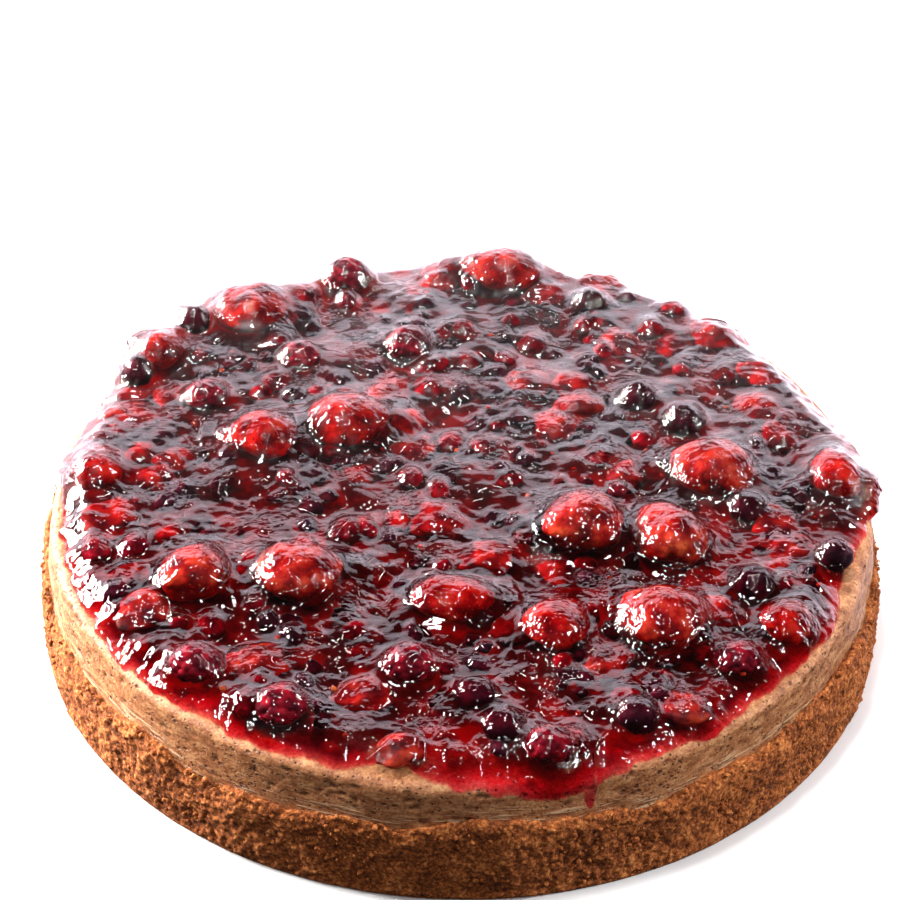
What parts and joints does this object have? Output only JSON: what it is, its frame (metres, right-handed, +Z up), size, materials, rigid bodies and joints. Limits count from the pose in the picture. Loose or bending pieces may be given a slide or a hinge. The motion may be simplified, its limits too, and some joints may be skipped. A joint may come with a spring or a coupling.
{
  "type": "mousse cake",
  "caption": "Low round mousse cake: chocolate sponge, pale chocolate mousse and a glossy red berry jelly with whole berries set in its top.",
  "frame": {"origin": "centre of the cake's flat underside", "axes": "+Z up through the cake, -Y towards the side that the picture shows in front, +X to the picture's right"},
  "size_m": [0.2604, 0.2605, 0.0585],
  "materials": {
    "sponge": "rough brown crumb",
    "mousse": "pale chocolate mousse, fine pores",
    "jelly": "clear dark red jelly",
    "strawberry": "glazed red fruit",
    "red_berry": "glazed purple-red fruit",
    "dark_berry": "glazed blue-black fruit"
  },
  "bodies": {
    "root": {"sponge": "sponge", "mousse": "mousse", "jelly": "jelly", "strawberry_01": "strawberry", "strawberry_02": "strawberry", "strawberry_03": "strawberry", "strawberry_04": "strawberry", "strawberry_05": "strawberry", "strawberry_06": "strawberry", "strawberry_07": "strawberry", "strawberry_08": "strawberry", "strawberry_09": "strawberry", "strawberry_10": "strawberry", "strawberry_11": "strawberry", "strawberry_12": "strawberry", "strawberry_13": "strawberry", "strawberry_14": "strawberry", "strawberry_15": "strawberry", "strawberry_16": "strawberry", "red_berry_01": "red_berry", "red_berry_02": "red_berry", "red_berry_03": "red_berry", "red_berry_04": "red_berry", "red_berry_05": "red_berry", "red_berry_06": "red_berry", "red_berry_07": "red_berry", "red_berry_08": "red_berry", "red_berry_09": "red_berry", "dark_berry_01": "dark_berry", "dark_berry_02": "dark_berry", "dark_berry_03": "dark_berry", "dark_berry_04": "dark_berry", "dark_berry_05": "dark_berry", "dark_berry_06": "dark_berry", "dark_berry_07": "dark_berry", "dark_berry_08": "dark_berry", "dark_berry_09": "dark_berry", "dark_berry_10": "dark_berry", "dark_berry_11": "dark_berry"}
  },
  "joints": []
}
